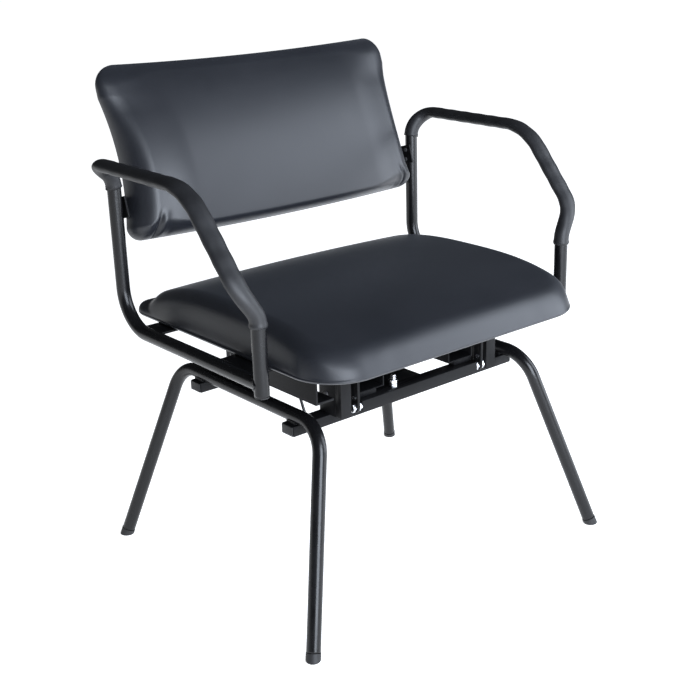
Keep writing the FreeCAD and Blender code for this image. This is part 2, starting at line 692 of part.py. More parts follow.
def back_board_upright():
    inset = BACK_BOARD_INSET
    rear = BACK_FRONT_Y + BACK_THICK - BACK_COVER_THICK
    return upright_slab(BACK_HALF - inset, BACK_LOW_Z + inset, BACK_LOW_Z + BACK_HIGH - inset,
                        rear - BOARD_THICK, rear, BACK_CORNER_R - inset)


def back_cover_upright():
    inset = BACK_COVER_INSET
    rear = BACK_FRONT_Y + BACK_THICK
    return upright_slab(BACK_HALF - inset, BACK_LOW_Z + inset, BACK_LOW_Z + BACK_HIGH - inset,
                        rear - BACK_COVER_THICK, rear, BACK_CORNER_R - inset)


def back_profile():
    """The back's outline seen from the side, drawn upright: fullest low down and thin at the top."""
    rear = BACK_FRONT_Y + BACK_THICK
    top = BACK_LOW_Z + BACK_HIGH
    lower = Vector(-FAR, BACK_FRONT_Y - BACK_LOW_CROWN, BACK_LOW_Z)
    fullest = Vector(-FAR, BACK_FRONT_Y - BACK_CROWN, BACK_LOW_Z + BACK_CROWN_UP)
    upper = Vector(-FAR, rear - BACK_TOP_THICK, top)
    edges = Part.makePolygon([upper, Vector(-FAR, rear, top), Vector(-FAR, rear, BACK_LOW_Z), lower]).Edges
    return Part.Face(Part.Wire([Part.Arc(lower, fullest, upper).toShape()] + edges))


def back_cushion():
    """Upholstery with the profile's full lower part, rounded corners and a rounded front edge."""
    outline = upright_slab(BACK_HALF, BACK_LOW_Z, BACK_LOW_Z + BACK_HIGH,
                           BACK_FRONT_Y - 2 * BACK_CROWN, BACK_FRONT_Y + BACK_THICK, BACK_CORNER_R)
    pad = back_profile().extrude(Vector(2 * FAR, 0, 0)).common(outline)
    rear = BACK_FRONT_Y + BACK_THICK
    front = [e for e in pad.Edges if e.BoundBox.YMax < rear - 1 and e.BoundBox.YMin < rear - BACK_TOP_THICK]
    pad = pad.makeFillet(BACK_EDGE_R, front)
    return leaned(pad.cut(back_board_upright()).cut(back_cover_upright()))


def bracket_frame():
    """Rear of the back and the two heights of a bracket, drawn upright."""
    rear = BACK_FRONT_Y + BACK_THICK
    return rear, BACK_LOW_Z + BRACKET_UP[0], BACK_LOW_Z + BRACKET_UP[1]


def web_screw_point(up):
    """Where a web screw stands, drawn upright: on the line of the upright's middle."""
    lean = math.radians(BACK_LEAN)
    across = (UPRIGHT_Y - BACK_FRONT_Y - up * math.sin(lean)) / math.cos(lean)
    return BACK_FRONT_Y + across, BACK_LOW_Z + up


def back_bracket(side):
    """Bent plate: a web on the inner side of the upright and a flange behind the back."""
    rear, z0, z1 = bracket_frame()
    outer = SIDE_X - TUBE_R
    front, _ = web_screw_point(sum(BRACKET_UP) / 2)
    web = box(outer - BRACKET_THICK, outer, front - BRACKET_REACH, rear + BRACKET_THICK, z0, z1)
    flange = box(BRACKET_FLANGE_X, outer, rear, rear + BRACKET_THICK, z0, z1)
    return on_side(leaned(web.fuse(flange).removeSplitter()), side)


def back_screws():
    """Round heads on the webs, into the uprights, and on the flanges, into the back board."""
    rear = bracket_frame()[0] + BRACKET_THICK
    web_x = SIDE_X - TUBE_R - BRACKET_THICK
    heads = []
    for up in BRACKET_SCREW_UP:
        y, z = web_screw_point(up)
        heads.append(rod((web_x - BRACKET_SCREW_HEAD, y, z), (web_x, y, z), BRACKET_SCREW_R))
        seat = (FLANGE_SCREW_X, rear, z)
        tip = (FLANGE_SCREW_X, rear + BRACKET_SCREW_HEAD, z)
        heads.append(rod(seat, tip, BRACKET_SCREW_R))
    return Part.makeCompound([on_side(leaned(head), side) for _, side in SIDES for head in heads])


def main():
    shapes = {
        "cross_bar_plugs": cross_bar_plugs(),
        "beam_blocks": beam_blocks(),
        "seat_straps": seat_straps(),
        "side_tabs": side_tabs(),
        "post_plugs": post_plugs(),
        "back_screws": back_screws(),
        "rail_saddles": rail_saddles(),
        "upper_pivot_bolts": upper_bolts(),
        "hanger_screws": hanger_screws(),
        "upper_nuts_and_spacers": upper_nuts_and_spacers(),
        "lower_pivot_bolts": lower_bolts(),
        "lower_pivot_nuts": lower_nuts(),
        "stop_plate": stop_plate(),
        "stop_bolt": stop_bolt(),
        "stop_nuts": stop_nuts(),
        "latch_rod": latch_rod(),
        "seat_board": seat_board(),
        "seat_cushion": seat_cushion(),
        "seat_screws": seat_screws(),
        "back_board": leaned(back_board_upright()),
        "back_cover": leaned(back_cover_upright()),
        "back_cushion": back_cushion(),
    }
    for name, side in SIDES:
        shapes["leg_frame_" + name] = leg_frame(side)
        shapes["carriage_beam_" + name] = carriage_beam(side)
        shapes["side_angle_" + name] = side_angle(side)
        shapes["side_frame_" + name] = side_frame(side)
        shapes["arm_bow_" + name] = arm_bow(side)
        shapes["arm_sleeve_" + name] = arm_sleeve(side)
        shapes["back_bracket_" + name] = back_bracket(side)
    for name, end in ENDS:
        shapes["cross_bar_" + name] = cross_bar(end)
        shapes["carriage_bar_" + name] = carriage_bar(end)
        for side_name, side in SIDES:
            corner = name + "_" + side_name
            shapes["foot_cap_" + corner] = foot_cap(side, end)
            shapes["hanger_post_" + corner] = hanger_post(side, end)
            shapes["hanger_box_" + corner] = hanger_box(side, end)
            shapes["link_" + corner] = link(side, end)
            shapes["link_fittings_" + corner] = link_fittings(side, end)
    os.makedirs("parts", exist_ok=True)
    for name, shape in sorted(shapes.items()):
        shape.exportStep("parts/" + name + ".step")
        print(name, shape.isValid(), len(shape.Solids), round(shape.Volume))


main()
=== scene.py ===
"""Gliding armchair: padded black vinyl seat and back, sleeved arms and a seat hung on swing links.

Metres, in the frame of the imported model: +Z up, the chair faces -Y, left is -X.
"""
import json
import math

import bmesh
import bpy
from mathutils import Matrix, Vector


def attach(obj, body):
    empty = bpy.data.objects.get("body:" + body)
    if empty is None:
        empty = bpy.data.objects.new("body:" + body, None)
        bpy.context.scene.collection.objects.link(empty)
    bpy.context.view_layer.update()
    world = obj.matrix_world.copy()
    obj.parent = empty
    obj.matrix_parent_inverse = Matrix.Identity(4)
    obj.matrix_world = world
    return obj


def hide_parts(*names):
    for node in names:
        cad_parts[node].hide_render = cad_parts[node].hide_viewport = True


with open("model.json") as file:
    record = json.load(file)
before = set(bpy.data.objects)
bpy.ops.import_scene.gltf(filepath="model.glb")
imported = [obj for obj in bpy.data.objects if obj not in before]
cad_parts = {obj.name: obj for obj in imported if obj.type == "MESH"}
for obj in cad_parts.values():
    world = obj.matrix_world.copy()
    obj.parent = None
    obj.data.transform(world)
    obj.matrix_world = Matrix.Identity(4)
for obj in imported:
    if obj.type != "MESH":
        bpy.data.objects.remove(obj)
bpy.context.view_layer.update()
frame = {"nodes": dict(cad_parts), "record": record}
NODES = frame["nodes"]
SLOT_OF = {row["node"]: row["material_slot"] for row in frame["record"]["subparts"]}

SIDES = (("left", -1), ("right", 1))
ENDS = (("front", -1), ("back", 1))
CORNERS = [(end_name + "_" + side_name, side, end) for end_name, end in ENDS for side_name, side in SIDES]

# ---- sizes repeated from the model ----
TUBE_R = 0.0111
SIDE_X = 0.317                 # centre line of post, upright and seat rail
SIDE_RAIL_Z = 0.4094
SIDE_BEND_R = 0.064
ARM_POST_Y = -0.178
ARM_POST_LOW = 0.392
UPRIGHT_Y = 0.1935
ARM_X = 0.3475
KNEE = (0.3445, -0.172, 0.554)
ARM_WIDE = 0.029
ARM_HIGH = 0.0154
SLEEVE_FRONT_Z = 0.494
SLEEVE_BACK_Z = 0.641
FOOT_X = 0.315
FOOT_Y = 0.2675
FOOT_CAP_UP = 0.011
LEG_TOP_X = 0.222
LEG_TOP_Y = 0.187
LEG_RAIL_Z = 0.3196
LEG_BEND_R = 0.054
BACK_LEAN = math.radians(15.0)
STOP_BOLT = (-0.049, -0.1555)
STOP_BOLT_LOW = 0.311
STOP_BOLT_TOP = 0.348
THREAD_R = 0.004
THREAD_PITCH = 0.00125
THREAD_DEEP = 0.0005


# ---------------------------------------------------------------- materials
def shader_nodes(name):
    """A new material with its Principled shader and node tree."""
    material = bpy.data.materials.new(name)
    material.use_nodes = True
    tree = material.node_tree
    return material, tree, tree.nodes["Principled BSDF"]


def add_node(tree, kind, **values):
    """A node with the given properties; keys that name an input set that input."""
    node = tree.nodes.new(kind)
    for key, value in values.items():
        if key in node.inputs:
            node.inputs[key].default_value = value
        else:
            setattr(node, key, value)
    return node


def object_coordinates(tree):
    return add_node(tree, "ShaderNodeTexCoord").outputs["Object"]


def noise(tree, where, scale, detail=3.0, rough=0.55):
    node = add_node(tree, "ShaderNodeTexNoise", Scale=scale, Detail=detail, Roughness=rough)
    tree.links.new(where, node.inputs["Vector"])
    return node.outputs["Fac"]


def ramp(tree, value, stops):
    """Maps a value through (position, grey or colour) stops."""
    node = add_node(tree, "ShaderNodeValToRGB")
    while len(node.color_ramp.elements) < len(stops):
        node.color_ramp.elements.new(0.5)
    for element, (place, shade) in zip(node.color_ramp.elements, stops):
        element.position = place
        element.color = (shade, shade, shade, 1) if isinstance(shade, float) else (*shade, 1)
    tree.links.new(value, node.inputs["Fac"])
    return node.outputs["Color"]


def bump(tree, layers):
    """Stacks (height, strength, depth) layers into one normal."""
    normal = None
    for height, strength, depth in layers:
        node = add_node(tree, "ShaderNodeBump", Strength=strength, Distance=depth)
        tree.links.new(height, node.inputs["Height"])
        if normal is not None:
            tree.links.new(normal, node.inputs["Normal"])
        normal = node.outputs["Normal"]
    return normal


def vinyl_material():
    """Black upholstery vinyl: fine pebble grain, a soft blue-grey sheen and slow changes of gloss."""
    material, tree, shader = shader_nodes("black_vinyl")
    where = object_coordinates(tree)
    cells = add_node(tree, "ShaderNodeTexVoronoi", Scale=720.0, feature="F1")
    tree.links.new(where, cells.inputs["Vector"])
    grain = cells.outputs["Distance"]
    fine = noise(tree, where, 1500.0, 2.0)
    slow = noise(tree, where, 7.0, 4.0)
    colour = ramp(tree, slow, [(0.3, (0.0075, 0.0085, 0.0115)), (0.7, (0.0105, 0.0115, 0.0150))])
    tree.links.new(colour, shader.inputs["Base Color"])
    rough = ramp(tree, slow, [(0.3, 0.38), (0.7, 0.44)])
    tree.links.new(rough, shader.inputs["Roughness"])
    shader.inputs["Specular IOR Level"].default_value = 0.5
    shader.inputs["Sheen Weight"].default_value = 0.04
    shader.inputs["Sheen Roughness"].default_value = 0.45
    shader.inputs["Sheen Tint"].default_value = (0.80, 0.87, 1.0, 1)
    normal = bump(tree, [(grain, 0.20, 0.00012), (fine, 0.12, 0.00006), (slow, 0.10, 0.0006)])
    tree.links.new(normal, shader.inputs["Normal"])
    return material


def powder_material(name, shade, low, high, peel, shine):
    """Powder-coated steel: orange-peel skin with slightly uneven gloss."""
    material, tree, shader = shader_nodes(name)
    where = object_coordinates(tree)
    slow = noise(tree, where, 18.0, 4.0)
    skin = noise(tree, where, 420.0, 2.0)
    colour = ramp(tree, slow, [(0.3, tuple(0.8 * c for c in shade)), (0.7, tuple(1.15 * c for c in shade))])
    tree.links.new(colour, shader.inputs["Base Color"])
    tree.links.new(ramp(tree, slow, [(0.3, low), (0.7, high)]), shader.inputs["Roughness"])
    shader.inputs["Specular IOR Level"].default_value = shine
    shader.inputs["Coat Weight"].default_value = 0.10 * shine
    shader.inputs["Coat Roughness"].default_value = 0.12
    tree.links.new(bump(tree, [(skin, peel, 0.00012)]), shader.inputs["Normal"])
    return material


def rubber_material(name, shade, rough, grain_scale):
    material, tree, shader = shader_nodes(name)
    where = object_coordinates(tree)
    slow = noise(tree, where, 30.0, 3.0)
    grain = noise(tree, where, grain_scale, 3.0)
    colour = ramp(tree, slow, [(0.3, tuple(0.85 * c for c in shade)), (0.7, tuple(1.15 * c for c in shade))])
    tree.links.new(colour, shader.inputs["Base Color"])
    tree.links.new(ramp(tree, slow, [(0.3, rough - 0.04), (0.7, rough + 0.04)]), shader.inputs["Roughness"])
    shader.inputs["Specular IOR Level"].default_value = 0.38
    tree.links.new(bump(tree, [(grain, 0.25, 0.0001)]), shader.inputs["Normal"])
    return material


def zinc_material():
    """Bright zinc plate, with faint blotches and fine scratches."""
    material, tree, shader = shader_nodes("bright_zinc")
    where = object_coordinates(tree)
    blotch = noise(tree, where, 160.0, 4.0)
    fine = noise(tree, where, 1800.0, 2.0)
    colour = ramp(tree, blotch, [(0.35, (0.62, 0.63, 0.66)), (0.65, (0.80, 0.80, 0.82))])
    tree.links.new(colour, shader.inputs["Base Color"])
    tree.links.new(ramp(tree, blotch, [(0.35, 0.28), (0.65, 0.18)]), shader.inputs["Roughness"])
    shader.inputs["Metallic"].default_value = 1.0
    tree.links.new(bump(tree, [(fine, 0.08, 0.00005)]), shader.inputs["Normal"])
    return material


def plywood_material():
    """Plywood stained dark, with long grain."""
    material, tree, shader = shader_nodes("stained_plywood")
    where = object_coordinates(tree)
    stretch = add_node(tree, "ShaderNodeMapping")
    stretch.inputs["Scale"].default_value = (6.0, 90.0, 90.0)
    tree.links.new(where, stretch.inputs["Vector"])
    grain = noise(tree, stretch.outputs["Vector"], 1.0, 6.0, 0.65)
    colour = ramp(tree, grain, [(0.3, (0.16, 0.10, 0.06)), (0.7, (0.34, 0.23, 0.14))])
    tree.links.new(colour, shader.inputs["Base Color"])
    shader.inputs["Roughness"].default_value = 0.7
    tree.links.new(bump(tree, [(grain, 0.2, 0.0003)]), shader.inputs["Normal"])
    return material


def cover_material():
    """Moulded rear panel with a leather-cell texture."""
    material, tree, shader = shader_nodes("textured_panel")
    where = object_coordinates(tree)
    cells = add_node(tree, "ShaderNodeTexVoronoi", Scale=380.0, feature="SMOOTH_F1")
    tree.links.new(where, cells.inputs["Vector"])
    slow = noise(tree, where, 12.0, 3.0)
    colour = ramp(tree, slow, [(0.3, (0.020, 0.020, 0.021)), (0.7, (0.027, 0.027, 0.028))])
    tree.links.new(colour, shader.inputs["Base Color"])
    tree.links.new(ramp(tree, slow, [(0.3, 0.48), (0.7, 0.56)]), shader.inputs["Roughness"])
    tree.links.new(bump(tree, [(cells.outputs["Distance"], 0.35, 0.0002)]), shader.inputs["Normal"])
    return material


def floor_material():
    """Seamless white paper, lit evenly enough to read as white."""
    material, tree, shader = shader_nodes("white_paper")
    shader.inputs["Base Color"].default_value = (0.80, 0.80, 0.80, 1)
    shader.inputs["Roughness"].default_value = 0.9
    shader.inputs["Specular IOR Level"].default_value = 0.2
    shader.inputs["Emission Color"].default_value = (0.98, 0.99, 1.0, 1)
    shader.inputs["Emission Strength"].default_value = 1.0
    return material


MATERIALS = {
    "frame_tube": powder_material("black_powder_tube", (0.005, 0.005, 0.0056), 0.22, 0.30, 0.12, 0.30),
    "frame_flat": powder_material("black_powder_flat", (0.005, 0.005, 0.0055), 0.38, 0.48, 0.20, 0.12),
    "sleeve": rubber_material("sleeve_rubber", (0.011, 0.0112, 0.0126), 0.50, 900.0),
    "black_rubber": rubber_material("moulded_rubber", (0.012, 0.012, 0.013), 0.55, 700.0),
    "upholstery": vinyl_material(),
    "board": plywood_material(),
    "cover": cover_material(),
    "bright_hardware": zinc_material(),
    "screws": powder_material("blackened_screw", (0.05, 0.05, 0.052), 0.30, 0.40, 0.10, 0.50),
    "rod_steel": powder_material("black_oxide_rod", (0.012, 0.012, 0.013), 0.30, 0.40, 0.10, 0.40),
}


# ---------------------------------------------------------------- helpers
def mesh_object(name, vertices, faces, smooth=True):
    mesh = bpy.data.meshes.new(name)
    mesh.from_pydata([tuple(v) for v in vertices], [], faces)
    mesh.validate()
    mesh.update()
    if smooth:
        mesh.shade_smooth()
    piece = bpy.data.objects.new(name, mesh)
    bpy.context.scene.collection.objects.link(piece)
    return piece


def finish_piece(piece, body, slot, *replaced):
    """Gives a piece its material and body, and hides the model nodes it stands for."""
    piece.data.materials.clear()
    piece.data.materials.append(MATERIALS[slot])
    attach(piece, body)
    if replaced:
        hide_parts(*replaced)
    return piece


def apply_modifiers(piece):
    """Bakes a piece's modifiers into its mesh."""
    graph = bpy.context.evaluated_depsgraph_get()
    graph.update()
    mesh = bpy.data.meshes.new_from_object(piece.evaluated_get(graph))
    piece.modifiers.clear()
    old = piece.data
    piece.data = mesh
    bpy.data.meshes.remove(old)
    return piece


def body_of(node):
    for body, members in frame["record"]["behaviour"]["bodies"].items():
        if node in members:
            return body
    return None


def bevelled_copy(node, width, segments=2, angle=0.7):
    """A copy of a model node with its sharp edges rounded over, which stands for the node."""
    mesh = NODES[node].data.copy()
    work = bmesh.new()
    work.from_mesh(mesh)
    bmesh.ops.remove_doubles(work, verts=work.verts, dist=1e-5)
    bmesh.ops.dissolve_limit(work, angle_limit=0.01, verts=work.verts, edges=work.edges)
    work.to_mesh(mesh)
    work.free()
    piece = bpy.data.objects.new(node + "_edges", mesh)
    bpy.context.scene.collection.objects.link(piece)
    rounding = piece.modifiers.new("rounding", "BEVEL")
    rounding.width = width
    rounding.segments = segments
    rounding.limit_method = "ANGLE"
    rounding.angle_limit = angle
    rounding.harden_normals = True
    apply_modifiers(piece)
    piece.data.shade_smooth()
    return finish_piece(piece, body_of(node), SLOT_OF[node], node)


def bend_points(corners, radii, step):
    """Points along straight runs through the corners, joined by arcs."""
    corners = [Vector(c) for c in corners]
    runs = [[corners[0]]]
    for before, corner, after, radius in zip(corners, corners[1:], corners[2:], radii):
        back = (before - corner).normalized()
        onward = (after - corner).normalized()
        half = back.angle(onward) / 2
        first = corner + back * (radius / math.tan(half))
        centre = corner + (back + onward).normalized() * (radius / math.sin(half))
        turn = math.pi - 2 * half
        axis = back.cross(onward).normalized()
        arm = first - centre
        count = max(3, int(radius * turn / step))
        runs[-1].append(first)
        arc = [centre + Matrix.Rotation(-turn * i / count, 3, axis) @ arm for i in range(1, count + 1)]
        runs.append(arc)
        runs.append([arc[-1]])
    runs[-1].append(corners[-1])
    points = []
    for run in runs:
        for a, b in zip([points[-1] if points else run[0]] + run[:-1], run):
            length = (b - a).length
            for i in range(1, max(1, round(length / step)) + 1):
                if length > 1e-7:
                    points.append(a.lerp(b, i / max(1, round(length / step))))
    return [corners[0]] + points


def swept_rings(points, section, segments):
    """Vertices of rings along the points; section(i, share) gives a ring's half width and half height."""
    vertices = []
    last = len(points) - 1
    for i, point in enumerate(points):
        tangent = (points[min(i + 1, last)] - points[max(i - 1, 0)]).normalized()
        across = (Vector((1, 0, 0)) - tangent * tangent.x).normalized()
        up = tangent.cross(across)
        wide, high = section(i, i / last)
        for k in range(segments):
            turn = 2 * math.pi * k / segments
            vertices.append(point + across * (wide * math.cos(turn)) + up * (high * math.sin(turn)))
    return vertices


def ring_faces(rings, segments, closed=False):
    """Quads between rings; closed joins the last ring to the first, and otherwise both ends get a cap."""
    faces = []
    for i in range(rings if closed else rings - 1):
        a, b = i * segments, ((i + 1) % rings) * segments
        for k in range(segments):
            n = (k + 1) % segments
            faces.append((a + k, a + n, b + n, b + k))
    if not closed:
        faces.append(tuple(reversed(range(segments))))
        faces.append(tuple(range((rings - 1) * segments, rings * segments)))
    return faces


def smooth_step(value):
    value = min(1.0, max(0.0, value))
    return value * value * (3 - 2 * value)


def mirrored(vertices, side):
    """Vertices drawn for +X, moved to the side asked for."""
    return [(side * v[0], v[1], v[2]) for v in vertices]


def outward(piece):
    """Makes a piece's faces look outward."""
    work = bmesh.new()
    work.from_mesh(piece.data)
    bmesh.ops.recalc_face_normals(work, faces=work.faces)
    work.to_mesh(piece.data)
    work.free()
    return piece


# ---------------------------------------------------------------- frame tubes
TUBE_SEGMENTS = 40
BEAD_R = 0.0019
BEAD_RIPPLES = 17


def joined(name, parts):
    """One mesh object from several (vertices, faces) parts."""
    vertices, faces = [], []
    for part_vertices, part_faces in parts:
        shift = len(vertices)
        vertices.extend(part_vertices)
        faces.extend(tuple(shift + k for k in face) for face in part_faces)
    return mesh_object(name, vertices, faces)


def tube_part(corners, radii):
    """A round tube through the corners."""
    points = bend_points(corners, radii, 0.003)
    vertices = swept_rings(points, lambda i, share: (TUBE_R, TUBE_R), TUBE_SEGMENTS)
    return vertices, ring_faces(len(points), TUBE_SEGMENTS)


def weld_bead():
    """A rippled bead round the rail's end, where it is coped onto the post."""
    count, around = 96, 10
    vertices = []
    for i in range(count):
        turn = 2 * math.pi * i / count
        spoke = Vector((math.cos(turn), 0, math.sin(turn)))
        depth = math.sqrt(TUBE_R ** 2 - (TUBE_R * spoke.x) ** 2)
        centre = Vector((SIDE_X, ARM_POST_Y + depth + 0.0006, SIDE_RAIL_Z)) + spoke * (TUBE_R + 0.0002)
        radius = BEAD_R * (1 + 0.10 * math.sin(BEAD_RIPPLES * turn))
        for k in range(around):
            lean = 2 * math.pi * k / around
            vertices.append(centre + spoke * (radius * math.cos(lean)) + Vector((0, radius * math.sin(lean), 0)))
    return vertices, ring_faces(count, around, closed=True)


def side_frame(name, side):
    """Post, upright and seat rail, with the weld where the rail meets the post."""
    post = tube_part([(SIDE_X, ARM_POST_Y, ARM_POST_LOW), (SIDE_X, ARM_POST_Y, SLEEVE_FRONT_Z + 0.004)], [])
    rear = tube_part([(SIDE_X, UPRIGHT_Y, SLEEVE_BACK_Z + 0.004), (SIDE_X, UPRIGHT_Y, SIDE_RAIL_Z),
                      (SIDE_X, ARM_POST_Y + 0.002, SIDE_RAIL_Z)], [SIDE_BEND_R])
    parts = [(mirrored(vertices, side), faces) for vertices, faces in (post, rear, weld_bead())]
    piece = joined("side_frame_tube_" + name, parts)
    outward(piece)
    piece.data.shade_smooth()
    return finish_piece(piece, "carriage", "frame_tube", "side_frame_" + name)


def leg_frame(name, side):
    """One bent tube: a leg, the level rail and the other leg."""
    share = FOOT_CAP_UP / LEG_RAIL_Z
    rim = (FOOT_X + (LEG_TOP_X - FOOT_X) * share, FOOT_Y + (LEG_TOP_Y - FOOT_Y) * share, FOOT_CAP_UP)
    half = [rim, (LEG_TOP_X, LEG_TOP_Y, LEG_RAIL_Z)]
    corners = half + [(x, -y, z) for x, y, z in reversed(half)]
    vertices, faces = tube_part(corners, [LEG_BEND_R, LEG_BEND_R])
    piece = joined("leg_frame_tube_" + name, [(mirrored(vertices, side), faces)])
    outward(piece)
    piece.data.shade_smooth()
    return finish_piece(piece, "base", "frame_tube", "leg_frame_" + name)


def stop_bolt():
    """The bolt's shank with a rolled thread."""
    around, rows = 32, 8
    pitch_rows = (STOP_BOLT_TOP - STOP_BOLT_LOW) / THREAD_PITCH * rows
    count = round(pitch_rows)
    vertices = []
    for i in range(count + 1):
        z = STOP_BOLT_LOW + (STOP_BOLT_TOP - STOP_BOLT_LOW) * i / count
        for k in range(around):
            turn = 2 * math.pi * k / around
            phase = ((z - STOP_BOLT_LOW) / THREAD_PITCH - k / around) % 1.0
            chamfer = max(0.0, 0.001 - (STOP_BOLT_TOP - z))
            radius = THREAD_R - THREAD_DEEP * abs(2 * phase - 1) - chamfer
            vertices.append((STOP_BOLT[0] + radius * math.cos(turn), STOP_BOLT[1] + radius * math.sin(turn), z))
    piece = mesh_object("stop_bolt_thread", vertices, ring_faces(count + 1, around))
    outward(piece)
    piece.data.shade_smooth()
    return finish_piece(piece, "carriage", SLOT_OF["stop_bolt"], "stop_bolt")


# ---------------------------------------------------------------- arm sleeves
SLEEVE_WALL = 0.0018
COLLAR_LONG = 0.0055           # raised ring at each end of a sleeve
COLLAR_PROUD = 0.0008
OVAL_START = 0.022
OVAL_FULL = 0.085


def arm_points():
    corners = [
        (SIDE_X, ARM_POST_Y, SLEEVE_FRONT_Z),
        (SIDE_X, ARM_POST_Y, 0.509),
        KNEE,
        (ARM_X, -0.068, 0.677),
        (ARM_X, 0.1865, 0.6798),
        (SIDE_X, UPRIGHT_Y, 0.652),
        (SIDE_X, UPRIGHT_Y, SLEEVE_BACK_Z),
    ]
    return bend_points(corners, [0.036, 0.058, 0.100, 0.030, 0.034], 0.0025)


def arm_sleeve(name, side):
    """Soft sleeve with a collar at each end, drawn tight over the oval arm."""
    points = arm_points()
    lengths = [0.0]
    for a, b in zip(points, points[1:]):
        lengths.append(lengths[-1] + (b - a).length)
    whole = lengths[-1]
    base_r = TUBE_R - 0.0002

    def section(i, share):
        near = min(lengths[i], whole - lengths[i])
        oval = smooth_step((near - OVAL_START) / (OVAL_FULL - OVAL_START))
        lip = COLLAR_PROUD * (1 - smooth_step((near - COLLAR_LONG) / 0.002))
        tuck = -0.0011 * (1 - smooth_step(near / 0.0014))
        creep = 0.00025 * math.sin(lengths[i] * 190.0) * oval
        grow = SLEEVE_WALL + lip + tuck + creep
        return base_r + (ARM_WIDE / 2 - base_r) * oval + grow, base_r + (ARM_HIGH / 2 - base_r) * oval + grow

    vertices = mirrored(swept_rings(points, section, 40), side)
    piece = mesh_object("arm_sleeve_soft_" + name, vertices, ring_faces(len(points), 40))
    outward(piece)
    piece.data.shade_smooth()
    return finish_piece(piece, "carriage", "sleeve", "arm_sleeve_" + name)


# ---------------------------------------------------------------- cushions
SEAT_HALF = 0.277
SEAT_FRONT = -0.276
SEAT_REAR = 0.250
SEAT_LOW = 0.411
SEAT_CROWN = 0.4852
SEAT_DROP = 0.0575             # the crown falls this much to the front and rear ends
SEAT_SIDE_DROP = 0.005
SEAT_EDGE = 0.0345
SEAT_EDGE_CORNER = 0.0787      # the rounding follows an outline with larger corners than the board's
SEAT_FRONT_LIP = 0.003         # thickness left above the hem, near the front and the rear edge
SEAT_REAR_LIP = 0.011
SEAT_ROLL = 0.009              # width over which the rim itself rolls down to the hem
SEAT_CORNERS = (0.076, 0.038)  # front and rear corner radii

BACK_HALF = 0.289
BACK_LOW = 0.553
BACK_HIGH = 0.280
BACK_THICK = 0.050
BACK_FRONT_Y = 0.152
BACK_CORNERS = (0.022, 0.036)  # lower and upper corner radii
BACK_FULL = 0.019              # how far the fullest line stands before the reference plane
BACK_FULL_UP = 0.075
BACK_TIP = 0.004               # the lower right corner is drawn out to a point
BACK_CURVE = 1.4               # how fast the front falls away from that line, per metre
BACK_EDGE = 0.016              # width of the rolled edge above and below
BACK_SIDE_EDGE = 0.034         # the same at the sides and round the corners
BACK_LIP = 0.009               # thickness left at the rim
BACK_OVER_BOARD = 0.018        # least thickness over the board
BACK_SIDE_ROLL = 0.013         # how far the sides lie behind the middle
BACK_SIDE_REACH = 0.105
PAD_CROWDING = 1.8             # brings a pad's rows closer together towards its edge
HEM = 0.0055
HEM_ROWS = 5


def corner_distance(u, v, half_u, half_v, corners):
    """How far a point is inside a rectangle whose corners are rounded, by one radius below and one above."""
    corner = corners[0] if v < 0 else corners[1]
    qu, qv = abs(u) - (half_u - corner), abs(v) - (half_v - corner)
    return corner - math.hypot(max(qu, 0), max(qv, 0)) - min(max(qu, qv), 0)


def rounded_into(u, v, half_u, half_v, corners):
    """Moves a point of the full rectangle inward where the corners are rounded."""
    corner = corners[0] if v < 0 else corners[1]
    qu, qv = abs(u) - (half_u - corner), abs(v) - (half_v - corner)
    if qu > 0 and qv > 0:
        pull = max(qu, qv) / math.hypot(qu, qv)
        u = math.copysign(half_u - corner + qu * pull, u)
        v = math.copysign(half_v - corner + qv * pull, v)
    return u, v


def crowded(index, cells):
    """A share from -1 to 1 whose steps get finer towards both ends."""
    share = 2 * index / cells - 1
    return math.copysign(1 - (1 - abs(share)) ** PAD_CROWDING, share)


def rim_indices(cells_u, cells_v):
    """The grid's border, once round."""
    wide = cells_u + 1
    rim = list(range(wide))
    rim += [j * wide + cells_u for j in range(1, cells_v + 1)]
    rim += [cells_v * wide + i for i in range(cells_u - 1, -1, -1)]
    rim += [j * wide for j in range(cells_v - 1, 0, -1)]
    return rim


def pad_mesh(name, half_u, half_v, corners, height, drawn, low, cells_u, cells_v):
    """A closed pad: height(u, v) is its top, drawn(u, v) pulls its outline, and a rolled hem closes it."""
    tops, lows, faces = [], [], []
    for j in range(cells_v + 1):
        for i in range(cells_u + 1):
            u, v = half_u * crowded(i, cells_u), half_v * crowded(j, cells_v)
            u, v = rounded_into(u, v, half_u, half_v, corners)
            du, dv = drawn(u, v)
            tops.append((du, dv, height(u, v)))
            lows.append((du * (1 - HEM / half_u), dv * (1 - HEM / half_v), low))
    wide = cells_u + 1
    shift = len(tops)
    for j in range(cells_v):
        for i in range(cells_u):
            a = j * wide + i
            quad = (a, a + 1, a + 1 + wide, a + wide)
            faces.append(quad)
            faces.append(tuple(shift + k for k in reversed(quad)))
    rim = rim_indices(cells_u, cells_v)
    vertices = tops + lows
    rows = [rim]
    for row in range(HEM_ROWS):
        turn = math.pi / 2 * row / HEM_ROWS
        start = len(vertices)
        for index in rim:
            top, inner = Vector(tops[index]), Vector(lows[index])
            outer = Vector((top.x, top.y, low))
            inward = inner - outer
            down = low + HEM * (1 - math.sin(turn))
            vertices.append(tuple(Vector((top.x, top.y, down)) + inward * (1 - math.cos(turn))))
        rows.append(range(start, start + len(rim)))
    rows.append([shift + index for index in rim])
    for upper, lower in zip(rows, rows[1:]):
        for k in range(len(rim)):
            n = (k + 1) % len(rim)
            faces.append((upper[k], lower[k], lower[n], upper[n]))
    return mesh_object(name, vertices, faces)


def soft_floor(value, least, blend):
    """The larger of two heights, with a rounded change from one to the other."""
    gap = max(0.0, 1 - abs(value - least) / blend)
    return max(value, least) + gap * gap * blend / 4


